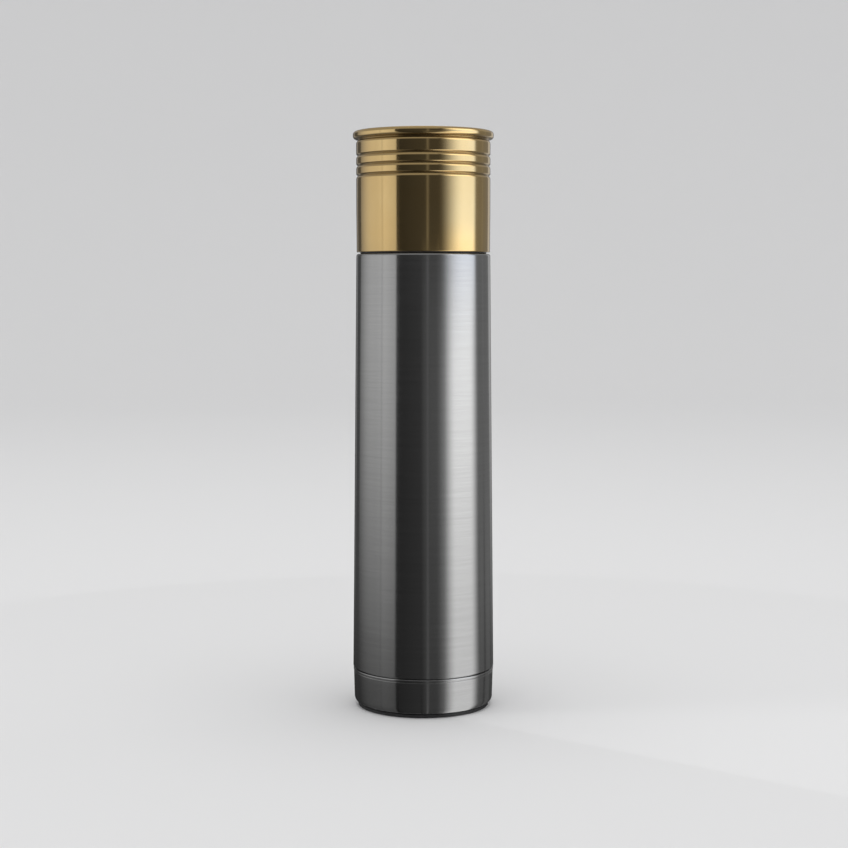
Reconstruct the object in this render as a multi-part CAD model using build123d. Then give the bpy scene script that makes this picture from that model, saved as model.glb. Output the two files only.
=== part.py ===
from build123d import *
import math
import os

# A vacuum flask with a brass screw cup shaped like the head of a cartridge.
# Millimetres, +Z up, origin at the centre of the rest plane. All round pieces share the Z axis.

# ---- clearances ----
FIT_GAP = 0.05  # pieces pressed or slid together for good
LINER_GAP = 0.2  # between the brass cup and what is bonded inside it
RUN_GAP = 0.3  # between pieces that turn or slide past each other
FLANK_GAP = 0.15  # along Z, between mating thread flanks

# Small edges are rounded by this share of the wall or step that they are on.
EDGE_SHARE = 0.25

# ---- steel vessel ----
SHELL_WALL = 0.6
MOUTH_RADIUS = 24.2  # bore of the inner neck
NECK_VACUUM = 3.1  # between the two neck tubes
BODY_VACUUM = 2.9  # between the two body walls
SHOULDER_VACUUM = 3.5
BOTTOM_VACUUM = 8.0
NECK_HEIGHT = 19.3
BODY_LENGTH = 217.5  # from the body's lower edge to its shoulder
BODY_FLARE = 2.2  # how much the body's radius grows from shoulder to base
SHOULDER_STEP = 0.06  # body radius beyond the cup's radius, at the shoulder
SHOULDER_ROUND = 2.0
NECK_ROUND = 0.8
VESSEL_TOP_ROUND = 4.0
VESSEL_FLOOR_ROUND = 8.0
SPIGOT_LENGTH = 12.7  # reduced end of the body, inside the base cap
LIP_ROUND = 0.25

# ---- bottom closure, getter and radiation foil ----
DISC_WALL = 0.8
DISC_RIM = 0.8  # how far the disc's flange hangs below its plate
DIMPLE_RADIUS = 5.0
DIMPLE_DEPTH = 1.2
PUMP_HOLE_RADIUS = 1.0
BEAD_RADIUS = 3.0
BEAD_DOME = 0.8  # share of the bead's height that is rounded
CLIP_LENGTH = 12.0
CLIP_WIDTH = 5.0
CLIP_WALL = 0.4
CLIP_OFFSET = 17.0
TABLET_RADIUS = 4.0
TABLET_HEIGHT = 2.2
FOIL_WALL = 0.15
FOIL_GAP = 0.1
FOIL_MARGIN = 12.0  # bare vessel left at both ends of the foil

# ---- base cap and foot ----
FOOT_HEIGHT = 1.8
FOOT_OUTER_RADIUS = 34.6
FOOT_WIDTH = 7.0
FOOT_ROUND = 0.4
BASE_CAP_HEIGHT = 18.6
BASE_WALL = 0.8
BASE_STEP = 0.3  # base cap radius below the body's radius
BASE_TAPER = 0.45
BASE_ROUND = 3.0
BASE_SEAM = 0.7  # open groove between base cap and body
ROLL_HEIGHT = 1.4  # rolled edge at the top of the base cap
ROLL_ROUND = 0.6
ROLL_BULGE = 0.14
BASE_LINE = 0.3  # fine groove under the rolled edge
PANEL_INSET = 2.2  # from the foot ring's bore to the raised panel
PANEL_RISE = 2.0

# ---- threads: three starts on both sides of the neck, one common lead ----
THREAD_LEAD = 15.0
THREAD_STARTS = 3
THREAD_HEIGHT = 1.3
THREAD_ROOT = 1.8
THREAD_CREST = 0.9
THREAD_EMBED = 0.3  # how far a ridge is sunk into the wall that carries it
NECK_RIDGE_TURN = 150.0
MATE_RIDGE_TURN = 80.0
OUTER_RIDGE_START = 6.4  # above the shoulder
INNER_RIDGE_START = 14.9  # below the lip

# ---- stopper ----
SEAL_HEIGHT = 1.5
SEAL_INSET = 0.5  # of the seal and flange from the neck's outside
PLUG_DEPTH = 27.4  # from the lip down to the plug's floor
PLUG_WALL = 1.8
FLOOR_WALL = 2.0
PORT_RADIUS = 9.5
DUCT_RADIUS = 11.0
DUCT_WALL = 1.2
LID_WALL = 1.6
FLANGE_WALL = 2.2
WAIST_RADIUS = 24.8
WAIST_WALL = 1.8
SPOUT_WIDTH = 14.0
SPOUT_HEIGHT = 5.2
SPOUT_RISE = 1.8  # above the flange
COVER_GAP = 0.8  # from the top of the spouts to the cover's skirt
COVER_HEIGHT = 16.1
COVER_WALL = 1.6
COVER_ROUND = 1.2
FLUTE_COUNT = 24
FLUTE_RADIUS = 1.4
FLUTE_DEPTH = 0.8
WELL_RADIUS = 13.0
WELL_WALL = 1.4
WELL_FLOOR = 1.6
HUB_RADIUS = 5.4
HUB_HEIGHT = 2.2
GLAND_FLOOR = 0.4
ORING_WIRE = 1.6

# ---- valve ----
STEM_RADIUS = 2.0
VALVE_SEAL_HEIGHT = 1.5
VALVE_SEAL_WIDTH = 5.4
VALVE_SEAL_OVERLAP = 3.0  # beyond the port's edge
HEAD_HEIGHT = 5.2
HEAD_HUB_RISE = 2.5
HEAD_INSET = 0.5  # of the head from the seal's edge
COLLAR_RADIUS = 4.5
COLLAR_HEIGHT = 1.2
BUTTON_TRAVEL = 5.0
BUTTON_PROUD = 4.5
BUTTON_WALL = 1.6
BUTTON_ROUND = 1.0
BOSS_RADIUS = 4.0
BOSS_LENGTH = 5.4
STEM_SOCKET = 4.6
SPRING_RADIUS = 7.5
SPRING_WIRE = 0.9
SPRING_TURNS = 6.25

# ---- brass cup ----
SEAM_GAP = 0.8  # between the cup's edge and the shoulder
CUP_WALL = 1.6
CUP_DRAFT = 0.15  # the cup's radius shrinks this much at its open edge
CUP_DRAFT_HEIGHT = 22.6
HEADROOM = 8.0  # over the button
LINER_WALL = 0.7
LINER_ROUND = 2.0
HEAD_WALL = 2.2
HEAD_RECESS = 0.9
RIM_BULGE = 1.7
RIM_HEIGHT = 3.6
RIM_ROUND = 1.6
RIM_WIDTH = 3.5
NECKING_DEPTH = 1.1  # of the pointed groove under the rim
NECKING_RISE = 0.9  # from the groove's bottom up to the rim
NECKING_DROP = 1.15  # from the groove's bottom down to the wall
GROOVE_COUNT = 3
GROOVE_DEPTH = 0.85
GROOVE_WIDTH = 1.8
GROOVE_FIRST = 12.65  # below the cup's top
GROOVE_PITCH = 5.2
PRIMER_RADIUS = 11.0
PRIMER_GROOVE = 0.8
PRIMER_DEPTH = 0.5
RING_WALL = 3.1
RING_HEIGHT = 11.7
CUP_SEAL_HEIGHT = 2.0
CUP_SEAL_INSET = 0.3

# ---- radii worked out from the mouth outwards ----
inner_neck_radius = MOUTH_RADIUS + SHELL_WALL
outer_neck_bore = inner_neck_radius + NECK_VACUUM
neck_radius = outer_neck_bore + SHELL_WALL
plug_radius = MOUTH_RADIUS - THREAD_HEIGHT - RUN_GAP
ring_bore = neck_radius + THREAD_HEIGHT + RUN_GAP
liner_radius = ring_bore + RING_WALL
cup_bore = liner_radius + LINER_GAP
cup_radius = cup_bore + CUP_WALL
shoulder_radius = cup_radius + SHOULDER_STEP
body_base_radius = shoulder_radius + BODY_FLARE
base_top_radius = body_base_radius - BASE_STEP
base_low_radius = base_top_radius - BASE_TAPER
flange_radius = neck_radius - SEAL_INSET
seal_bore = plug_radius + RUN_GAP
waist_bore = WAIST_RADIUS - WAIST_WALL
button_radius = WELL_RADIUS - RUN_GAP
stem_bore = STEM_RADIUS + RUN_GAP

# ---- heights worked out from the floor upwards ----
base_top = FOOT_HEIGHT + BASE_CAP_HEIGHT
body_bottom = base_top + BASE_SEAM
shoulder = body_bottom + BODY_LENGTH
spigot_bottom = body_bottom - SPIGOT_LENGTH
disc_bottom = spigot_bottom + DISC_RIM
disc_top = disc_bottom + DISC_WALL
vessel_bottom = disc_top + BOTTOM_VACUUM
vessel_shoulder = shoulder - SHELL_WALL - SHOULDER_VACUUM
lip_top = shoulder + NECK_HEIGHT
lip_bottom = lip_top - SHELL_WALL
plug_floor = lip_top - PLUG_DEPTH
seal_top = lip_top + SEAL_HEIGHT
flange_top = seal_top + FLANGE_WALL
waist_seat = seal_top + FLANGE_WALL / 2
duct_top = seal_top - COVER_GAP
spout_bottom = flange_top + SPOUT_RISE
spout_top = spout_bottom + SPOUT_HEIGHT
well_bottom = spout_top + COVER_GAP / 2
well_floor = well_bottom + WELL_FLOOR
cover_bottom = spout_top + COVER_GAP
cover_top = cover_bottom + COVER_HEIGHT
cover_ceiling = cover_top - COVER_WALL
button_top = cover_top + BUTTON_PROUD
button_ceiling = button_top - BUTTON_WALL
button_bottom = well_floor + BUTTON_TRAVEL + RUN_GAP
head_top = plug_floor - VALVE_SEAL_HEIGHT
head_bottom = head_top - HEAD_HEIGHT
cup_edge = shoulder + SEAM_GAP
liner_ceiling = button_top + HEADROOM
liner_top = liner_ceiling + LINER_WALL
cup_ceiling = liner_top + LINER_GAP
cup_face = cup_ceiling + HEAD_WALL
cup_top = cup_face + HEAD_RECESS
cup_seal_top = shoulder + CUP_SEAL_HEIGHT
ring_bottom = cup_seal_top + RUN_GAP
ring_top = ring_bottom + RING_HEIGHT

# Distance along Z between the mid-lines of two mating ridges, with their sloped flanks FLANK_GAP apart.
flank_slope = (THREAD_ROOT - THREAD_CREST) / 2 / THREAD_HEIGHT
ridge_offset = THREAD_CREST + flank_slope * (THREAD_HEIGHT - RUN_GAP) + FLANK_GAP


def body_radius(z):
    """Outside radius of the tapered steel body at height z."""
    return shoulder_radius + BODY_FLARE * (shoulder - z) / BODY_LENGTH


def base_radius(z):
    """Outside radius of the tapered base cap at height z."""
    return base_top_radius - BASE_TAPER * (base_top - z) / BASE_CAP_HEIGHT


def turned(points):
    """Solid of revolution about Z from a closed (r, z) outline. A third value rounds that corner."""
    spots = [Vector(p[0], 0, p[1]) for p in points]
    entries, exits, arcs = [], [], []
    for n, here in enumerate(spots):
        back = (spots[n - 1] - here).normalized()
        ahead = (spots[(n + 1) % len(spots)] - here).normalized()
        radius = points[n][2] if len(points[n]) > 2 else 0
        if not radius:
            entries.append(here)
            exits.append(here)
            continue
        half = math.radians(back.get_angle(ahead)) / 2
        centre = here + (back + ahead).normalized() * (radius / math.sin(half))
        entries.append(here + back * (radius / math.tan(half)))
        exits.append(here + ahead * (radius / math.tan(half)))
        middle = centre + (here - centre).normalized() * radius
        arcs.append(ThreePointArc(entries[-1], middle, exits[-1]))
    sides = []
    for n in range(len(spots)):
        start, end = exits[n - 1], entries[n]
        if (end - start).length > 1e-6:
            sides.append(Line(start, end))
    return revolve(make_face(sides + arcs), Axis.Z, 360)


def ridges(radius, outward, z, turn):
    """Thread ridges standing on a wall of this radius: a trapezium swept along a helix, once per start.

    outward is 1 for ridges that point away from the axis and -1 for ridges that point to it. z is
    the height of each ridge's mid-line at its lower end.
    """
    tilt = math.atan(THREAD_LEAD / (2 * math.pi * radius))
    start = Plane(origin=(radius, 0, z), x_dir=(1, 0, 0), z_dir=(0, math.cos(tilt), math.sin(tilt)))
    sunk = THREAD_ROOT / 2 + flank_slope * THREAD_EMBED
    outline = Polygon(
        (-outward * THREAD_EMBED, -sunk),
        (outward * THREAD_HEIGHT, -THREAD_CREST / 2),
        (outward * THREAD_HEIGHT, THREAD_CREST / 2),
        (-outward * THREAD_EMBED, sunk),
        align=None,
    )
    rise = THREAD_LEAD * turn / 360
    path = Helix(pitch=THREAD_LEAD, height=rise, radius=radius, center=(0, 0, z))
    one = sweep(start * outline, path=path, is_frenet=True)
    return [one.rotate(Axis.Z, 360 / THREAD_STARTS * n) for n in range(THREAD_STARTS)]


def joined(body, extras):
    """Fuse the extras onto a body and give back its single solid."""
    for extra in extras:
        body = body + extra
    return body.solids()[0] if len(body.solids()) == 1 else body


def outer_shell():
    """Drawn steel outer body: spigot for the base cap, flared wall, rounded shoulder, threaded neck."""
    spigot = base_radius(spigot_bottom) - BASE_WALL - FIT_GAP
    wall = turned(
        [
            (spigot, spigot_bottom),
            (spigot, body_bottom),
            (body_base_radius, body_bottom, SHELL_WALL * EDGE_SHARE),
            (shoulder_radius, shoulder, SHOULDER_ROUND),
            (neck_radius, shoulder, NECK_ROUND),
            (neck_radius, lip_bottom),
            (outer_neck_bore, lip_bottom),
            (outer_neck_bore, shoulder - SHELL_WALL, NECK_ROUND + SHELL_WALL),
            (shoulder_radius - SHELL_WALL, shoulder - SHELL_WALL, SHOULDER_ROUND - SHELL_WALL),
            (body_base_radius - SHELL_WALL, body_bottom + SHELL_WALL),
            (spigot - SHELL_WALL, body_bottom + SHELL_WALL),
            (spigot - SHELL_WALL, spigot_bottom),
        ]
    )
    return joined(wall, ridges(neck_radius, 1, shoulder + OUTER_RIDGE_START, NECK_RIDGE_TURN))


def vessel_radius(z):
    """Outside radius of the inner vessel at height z, parallel to the body."""
    return body_radius(z) - SHELL_WALL - BODY_VACUUM


def inner_vessel():
    """Inner steel vessel: rounded floor, tapered wall, threaded neck, lip welded to the outer neck."""
    top, bottom = vessel_radius(vessel_shoulder), vessel_radius(vessel_bottom)
    wall = turned(
        [
            (0, vessel_bottom),
            (bottom, vessel_bottom, VESSEL_FLOOR_ROUND),
            (top, vessel_shoulder, VESSEL_TOP_ROUND),
            (inner_neck_radius, vessel_shoulder, NECK_ROUND + SHELL_WALL),
            (inner_neck_radius, lip_bottom),
            (neck_radius, lip_bottom),
            (neck_radius, lip_top, LIP_ROUND),
            (MOUTH_RADIUS, lip_top, LIP_ROUND),
            (MOUTH_RADIUS, vessel_shoulder - SHELL_WALL, NECK_ROUND),
            (top - SHELL_WALL, vessel_shoulder - SHELL_WALL, VESSEL_TOP_ROUND - SHELL_WALL),
            (bottom - SHELL_WALL, vessel_bottom + SHELL_WALL, VESSEL_FLOOR_ROUND - SHELL_WALL),
            (0, vessel_bottom + SHELL_WALL),
        ]
    )
    return joined(wall, ridges(MOUTH_RADIUS, -1, lip_top - INNER_RIDGE_START, NECK_RIDGE_TURN))


def copper_foil():
    """Copper foil wrapped round the inner vessel inside the vacuum, against radiated heat."""
    low = vessel_bottom + FOIL_MARGIN
    high = vessel_shoulder - FOIL_MARGIN
    inside_low = vessel_radius(low) + FOIL_GAP
    inside_high = vessel_radius(high) + FOIL_GAP
    return turned(
        [
            (inside_low, low),
            (inside_low + FOIL_WALL, low),
            (inside_high + FOIL_WALL, high),
            (inside_high, high),
        ]
    )


def bottom_disc():
    """Outer bottom plate, welded into the spigot, with the pumping hole in a dimple at its centre."""
    edge = base_radius(spigot_bottom) - BASE_WALL - FIT_GAP - SHELL_WALL - FIT_GAP
    slope = DISC_WALL
    return turned(
        [
            (PUMP_HOLE_RADIUS, disc_bottom + DIMPLE_DEPTH),
            (DIMPLE_RADIUS, disc_bottom + DIMPLE_DEPTH),
            (DIMPLE_RADIUS + slope, disc_bottom),
            (edge - DISC_WALL, disc_bottom),
            (edge - DISC_WALL, spigot_bottom),
            (edge, spigot_bottom),
            (edge, disc_top),
            (DIMPLE_RADIUS + slope, disc_top),
            (DIMPLE_RADIUS, disc_top + DIMPLE_DEPTH),
            (PUMP_HOLE_RADIUS, disc_top + DIMPLE_DEPTH),
        ]
    )


def vacuum_seal_bead():
    """Solder bead that closes the pumping hole from below."""
    top = disc_bottom + DIMPLE_DEPTH
    low = disc_bottom
    return turned([(0, top), (BEAD_RADIUS, top), (BEAD_RADIUS, low, (top - low) * BEAD_DOME), (0, low)])


def getter_clip():
    """Spot-welded steel strap with both ends turned up round the getter tablet."""
    strap = Pos(CLIP_OFFSET, 0, disc_top) * Box(
        CLIP_LENGTH, CLIP_WIDTH, CLIP_WALL, align=(Align.CENTER, Align.CENTER, Align.MIN)
    )
    ends = []
    for side in (-1, 1):
        x = CLIP_OFFSET + side * (TABLET_RADIUS + FIT_GAP + CLIP_WALL / 2)
        ends.append(
            Pos(x, 0, disc_top + CLIP_WALL)
            * Box(CLIP_WALL, CLIP_WIDTH, TABLET_HEIGHT, align=(Align.CENTER, Align.CENTER, Align.MIN))
        )
    return joined(strap, ends)


def getter_tablet():
    """Pressed getter powder that keeps the vacuum."""
    return Pos(CLIP_OFFSET, 0, disc_top + CLIP_WALL) * Cylinder(
        TABLET_RADIUS, TABLET_HEIGHT, align=(Align.CENTER, Align.CENTER, Align.MIN)
    )


def base_cap():
    """Pressed steel cup over the body's lower end: rolled top edge, fine line, rounded foot, raised panel."""
    line_top = base_top - ROLL_HEIGHT
    line_low = line_top - BASE_LINE
    panel = FOOT_OUTER_RADIUS - FOOT_WIDTH - PANEL_INSET
    floor = FOOT_HEIGHT + BASE_WALL
    return turned(
        [
            (base_top_radius - BASE_WALL, base_top),
            (base_top_radius + ROLL_BULGE, base_top, ROLL_ROUND),
            (base_top_radius + ROLL_BULGE, line_top, ROLL_HEIGHT * EDGE_SHARE),
            (base_radius(line_top) - BASE_LINE, line_top - BASE_LINE / 2),
            (base_radius(line_low), line_low - BASE_LINE / 2),
            (base_low_radius, FOOT_HEIGHT, BASE_ROUND),
            (panel, FOOT_HEIGHT, BASE_WALL),
            (panel - PANEL_RISE / 2, FOOT_HEIGHT + PANEL_RISE, BASE_WALL),
            (0, FOOT_HEIGHT + PANEL_RISE),
            (0, floor + PANEL_RISE),
            (panel, floor + PANEL_RISE, BASE_WALL),
            (panel + PANEL_RISE / 2, floor, BASE_WALL),
            (base_low_radius - BASE_WALL, floor, BASE_ROUND - BASE_WALL),
        ]
    )


def foot_ring():
    """Silicone ring glued under the base cap: the flask stands on it."""
    bore = FOOT_OUTER_RADIUS - FOOT_WIDTH
    return turned(
        [
            (bore, 0, FOOT_ROUND),
            (FOOT_OUTER_RADIUS, 0, FOOT_ROUND),
            (FOOT_OUTER_RADIUS, FOOT_HEIGHT, FOOT_ROUND),
            (bore, FOOT_HEIGHT),
        ]
    )


def stopper_seal():
    """Flat silicone ring between the lip and the stopper's flange."""
    return turned(
        [(seal_bore, lip_top), (flange_radius, lip_top), (flange_radius, seal_top), (seal_bore, seal_top)]
    )


def stopper_body():
    """Moulded plug: floor with the valve's port, pour duct, threaded wall, and flange on the seal."""
    bore = plug_radius - PLUG_WALL
    duct = DUCT_RADIUS + DUCT_WALL
    floor_top = plug_floor + FLOOR_WALL
    seat = WAIST_RADIUS + FIT_GAP
    moulding = turned(
        [
            (PORT_RADIUS, plug_floor),
            (plug_radius, plug_floor, PLUG_WALL / 2),
            (plug_radius, seal_top),
            (flange_radius, seal_top),
            (flange_radius, flange_top, FLANGE_WALL * EDGE_SHARE),
            (seat, flange_top),
            (seat, waist_seat),
            (bore, waist_seat),
            (bore, floor_top),
            (duct, floor_top),
            (duct, duct_top),
            (DUCT_RADIUS, duct_top),
            (DUCT_RADIUS, floor_top),
            (PORT_RADIUS, floor_top),
        ]
    )
    start = lip_top - INNER_RIDGE_START - ridge_offset
    return joined(moulding, ridges(plug_radius, 1, start, MATE_RIDGE_TURN))


def spout_ring():
    """Waist of the stopper, welded into the flange's rebate, with a spout cut through on each side."""
    wall = turned(
        [
            (waist_bore, waist_seat),
            (WAIST_RADIUS, waist_seat),
            (WAIST_RADIUS, cover_ceiling),
            (waist_bore, cover_ceiling),
        ]
    )
    return wall - Pos(0, 0, spout_bottom) * Box(
        2 * flange_radius, SPOUT_WIDTH, SPOUT_HEIGHT, align=(Align.CENTER, Align.CENTER, Align.MIN)
    )


def insulation_ring():
    """Foam ring between the duct and the plug's wall."""
    inner = DUCT_RADIUS + DUCT_WALL + LINER_GAP
    outer = plug_radius - PLUG_WALL - LINER_GAP
    low = plug_floor + FLOOR_WALL
    high = duct_top - LID_WALL
    return turned([(inner, low), (outer, low), (outer, high), (inner, high)])


def insulation_lid():
    """Welded ring that closes the foam's chamber."""
    inner = DUCT_RADIUS + DUCT_WALL + FIT_GAP
    outer = plug_radius - PLUG_WALL - FIT_GAP
    low = duct_top - LID_WALL
    return turned([(inner, low), (outer, low), (outer, duct_top), (inner, duct_top)])


def button_well():
    """Hat-shaped moulding in the waist: plate, well for the button, and hub with the stem's gland."""
    gland = stem_bore + ORING_WIRE
    return turned(
        [
            (stem_bore, well_bottom),
            (waist_bore - FIT_GAP, well_bottom),
            (waist_bore - FIT_GAP, well_floor),
            (WELL_RADIUS + WELL_WALL, well_floor),
            (WELL_RADIUS + WELL_WALL, cover_ceiling),
            (WELL_RADIUS, cover_ceiling),
            (WELL_RADIUS, well_floor),
            (HUB_RADIUS, well_floor),
            (HUB_RADIUS, well_floor + HUB_HEIGHT),
            (gland, well_floor + HUB_HEIGHT),
            (gland, well_floor + GLAND_FLOOR),
            (stem_bore, well_floor + GLAND_FLOOR),
        ]
    )


def stem_oring():
    """O-ring in the gland round the stem."""
    return Pos(0, 0, well_floor + GLAND_FLOOR + ORING_WIRE / 2) * Torus(
        stem_bore + ORING_WIRE / 2, ORING_WIRE / 2
    )


def stopper_cover():
    """Finger grip over the waist: an open-bottomed cap with side flutes and a hole for the button."""
    bore = flange_radius - COVER_WALL
    cap = turned(
        [
            (WELL_RADIUS, cover_ceiling),
            (bore, cover_ceiling),
            (bore, cover_bottom),
            (flange_radius, cover_bottom, COVER_WALL * EDGE_SHARE),
            (flange_radius, cover_top, COVER_ROUND),
            (WELL_RADIUS, cover_top, COVER_WALL * EDGE_SHARE),
        ]
    )
    flute = Pos(flange_radius + FLUTE_RADIUS - FLUTE_DEPTH, 0, cover_bottom - COVER_GAP) * Cylinder(
        FLUTE_RADIUS, COVER_HEIGHT, align=(Align.CENTER, Align.CENTER, Align.MIN)
    )
    for n in range(FLUTE_COUNT):
        cap = cap - flute.rotate(Axis.Z, 360 / FLUTE_COUNT * n)
    return cap


def valve_spring():
    """Compression spring between the well's floor and the button, with both ends ground flat."""
    length = button_ceiling - well_floor
    path = Helix(pitch=length / SPRING_TURNS, height=length, radius=SPRING_RADIUS, center=(0, 0, well_floor))
    tilt = math.atan(length / SPRING_TURNS / (2 * math.pi * SPRING_RADIUS))
    start = Plane(
        origin=(SPRING_RADIUS, 0, well_floor), x_dir=(1, 0, 0), z_dir=(0, math.cos(tilt), math.sin(tilt))
    )
    wire = sweep(start * Circle(SPRING_WIRE / 2), path=path, is_frenet=True)
    room = Pos(0, 0, well_floor) * Cylinder(
        SPRING_RADIUS + SPRING_WIRE, length, align=(Align.CENTER, Align.CENTER, Align.MIN)
    )
    return wire & room


def valve_stem():
    """Steel rod from the collar under the valve head up into the button's boss."""
    top = button_ceiling - (BOSS_LENGTH - STEM_SOCKET) + FIT_GAP
    low = head_bottom - COLLAR_HEIGHT
    return turned(
        [
            (0, low),
            (COLLAR_RADIUS, low, COLLAR_HEIGHT * EDGE_SHARE),
            (COLLAR_RADIUS, head_bottom),
            (STEM_RADIUS, head_bottom),
            (STEM_RADIUS, top),
            (0, top),
        ]
    )


def valve_head():
    """Moulded valve disc under the port, with a hub that centres the seal."""
    bore = STEM_RADIUS + FIT_GAP
    hub = PORT_RADIUS + VALVE_SEAL_OVERLAP - VALVE_SEAL_WIDTH - FIT_GAP
    edge = PORT_RADIUS + VALVE_SEAL_OVERLAP - HEAD_INSET
    return turned(
        [
            (bore, head_bottom),
            (edge, head_bottom, HEAD_HEIGHT * EDGE_SHARE),
            (edge, head_top),
            (hub, head_top),
            (hub, head_top + HEAD_HUB_RISE),
            (bore, head_top + HEAD_HUB_RISE),
        ]
    )


def valve_seal():
    """Silicone washer on the valve head that shuts against the plug's floor."""
    outer = PORT_RADIUS + VALVE_SEAL_OVERLAP
    inner = outer - VALVE_SEAL_WIDTH
    return turned([(inner, head_top), (outer, head_top), (outer, plug_floor), (inner, plug_floor)])


def push_button():
    """Round button: domed edge, guiding skirt, and a boss that holds the stem."""
    boss_bottom = button_ceiling - BOSS_LENGTH
    socket = STEM_RADIUS + FIT_GAP
    skirt_bore = button_radius - BUTTON_WALL
    return turned(
        [
            (0, button_top),
            (button_radius, button_top, BUTTON_ROUND),
            (button_radius, button_bottom),
            (skirt_bore, button_bottom),
            (skirt_bore, button_ceiling),
            (BOSS_RADIUS, button_ceiling),
            (BOSS_RADIUS, boss_bottom),
            (socket, boss_bottom),
            (socket, boss_bottom + STEM_SOCKET + FIT_GAP),
            (0, boss_bottom + STEM_SOCKET + FIT_GAP),
        ]
    )


def cup_seal_ring():
    """Silicone ring on the shoulder, under the cup's thread ring."""
    inner = ring_bore + CUP_SEAL_INSET
    outer = liner_radius - CUP_SEAL_INSET
    return turned([(inner, shoulder), (outer, shoulder), (outer, cup_seal_top), (inner, cup_seal_top)])


def cup_shell():
    """Brass cup: drafted wall, three V grooves, necking under a rolled rim, flat head with a round button."""
    draft_top = cup_edge + CUP_DRAFT_HEIGHT
    necking_radius = cup_radius - NECKING_DEPTH
    rim_bottom = cup_top - RIM_HEIGHT
    necking = rim_bottom - NECKING_RISE
    rim_radius = cup_radius + RIM_BULGE
    rim_bore = rim_radius - RIM_WIDTH
    outline = [
        (cup_bore, cup_edge),
        (cup_radius - CUP_DRAFT, cup_edge, CUP_WALL * EDGE_SHARE),
        (cup_radius, draft_top),
    ]
    for n in reversed(range(GROOVE_COUNT)):
        middle = cup_top - GROOVE_FIRST - n * GROOVE_PITCH
        outline.append((cup_radius, middle - GROOVE_WIDTH / 2, GROOVE_DEPTH * EDGE_SHARE))
        outline.append((cup_radius - GROOVE_DEPTH, middle, GROOVE_DEPTH * EDGE_SHARE))
        outline.append((cup_radius, middle + GROOVE_WIDTH / 2, GROOVE_DEPTH * EDGE_SHARE))
    outline += [
        (cup_radius, necking - NECKING_DROP, NECKING_DEPTH * EDGE_SHARE),
        (necking_radius, necking, NECKING_DEPTH * EDGE_SHARE),
        (rim_radius, rim_bottom, RIM_ROUND),
        (rim_radius, cup_top, RIM_ROUND),
        (rim_bore, cup_top, HEAD_RECESS / 2),
        (rim_bore - HEAD_RECESS / 2, cup_face, HEAD_RECESS * EDGE_SHARE),
        (PRIMER_RADIUS + PRIMER_GROOVE, cup_face),
        (PRIMER_RADIUS + PRIMER_GROOVE, cup_face - PRIMER_DEPTH),
        (PRIMER_RADIUS, cup_face - PRIMER_DEPTH),
        (PRIMER_RADIUS, cup_face, PRIMER_DEPTH / 2),
        (0, cup_face),
        (0, cup_ceiling),
        (cup_bore, cup_ceiling, HEAD_WALL / 2),
    ]
    return turned(outline)


def cup_liner():
    """Steel drinking surface inside the brass cup."""
    bore = liner_radius - LINER_WALL
    return turned(
        [
            (bore, ring_top),
            (liner_radius, ring_top),
            (liner_radius, liner_top, LINER_ROUND),
            (0, liner_top),
            (0, liner_ceiling),
            (bore, liner_ceiling, LINER_ROUND - LINER_WALL),
        ]
    )


def cup_thread_ring():
    """Moulded ring bonded inside the cup's mouth, with ridges that mesh under those of the neck."""
    wall = turned(
        [
            (ring_bore, ring_bottom, RUN_GAP),
            (liner_radius, ring_bottom),
            (liner_radius, ring_top),
            (ring_bore, ring_top),
        ]
    )
    start = shoulder + OUTER_RIDGE_START - ridge_offset
    return joined(wall, ridges(ring_bore, -1, start, MATE_RIDGE_TURN))


PIECES = [
    outer_shell,
    inner_vessel,
    copper_foil,
    bottom_disc,
    vacuum_seal_bead,
    getter_clip,
    getter_tablet,
    base_cap,
    foot_ring,
    stopper_seal,
    stopper_body,
    spout_ring,
    insulation_ring,
    insulation_lid,
    button_well,
    stem_oring,
    stopper_cover,
    valve_spring,
    valve_stem,
    valve_head,
    valve_seal,
    push_button,
    cup_seal_ring,
    cup_shell,
    cup_liner,
    cup_thread_ring,
]

os.makedirs("parts", exist_ok=True)
for piece in PIECES:
    export_step(piece(), f"parts/{piece.__name__}.step")
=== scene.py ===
import math

import bmesh
import bpy
import numpy as np
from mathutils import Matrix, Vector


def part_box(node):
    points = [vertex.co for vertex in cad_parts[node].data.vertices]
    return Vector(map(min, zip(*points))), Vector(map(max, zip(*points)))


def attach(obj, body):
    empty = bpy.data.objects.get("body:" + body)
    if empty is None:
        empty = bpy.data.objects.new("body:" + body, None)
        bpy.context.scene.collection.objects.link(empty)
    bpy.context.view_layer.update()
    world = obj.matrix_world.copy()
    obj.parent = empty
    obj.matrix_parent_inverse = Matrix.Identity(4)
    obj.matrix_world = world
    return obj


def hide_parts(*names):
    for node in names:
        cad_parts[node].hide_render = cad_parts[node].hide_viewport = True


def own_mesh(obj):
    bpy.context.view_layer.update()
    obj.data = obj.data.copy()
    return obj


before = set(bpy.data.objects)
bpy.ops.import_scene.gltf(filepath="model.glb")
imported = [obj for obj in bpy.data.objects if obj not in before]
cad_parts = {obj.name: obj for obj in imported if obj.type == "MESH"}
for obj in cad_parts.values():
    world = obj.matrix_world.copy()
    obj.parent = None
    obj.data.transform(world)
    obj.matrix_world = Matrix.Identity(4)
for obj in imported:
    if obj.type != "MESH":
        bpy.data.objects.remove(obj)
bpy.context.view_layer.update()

# A slim vacuum flask: brushed steel body and base cap, pour-through stopper with a push button,
# and a brass screw cup turned like the head of a cartridge. The sections follow the flask from
# the vessel outwards and upwards. Lengths are metres, and all round pieces share the Z axis.


# ---- inner vessel ----
# The inner bottle, drawn from thin stainless steel and electropolished: rounded floor, tapered
# wall, three-start thread rolled into the neck, and a lip welded to the outer neck.

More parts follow.
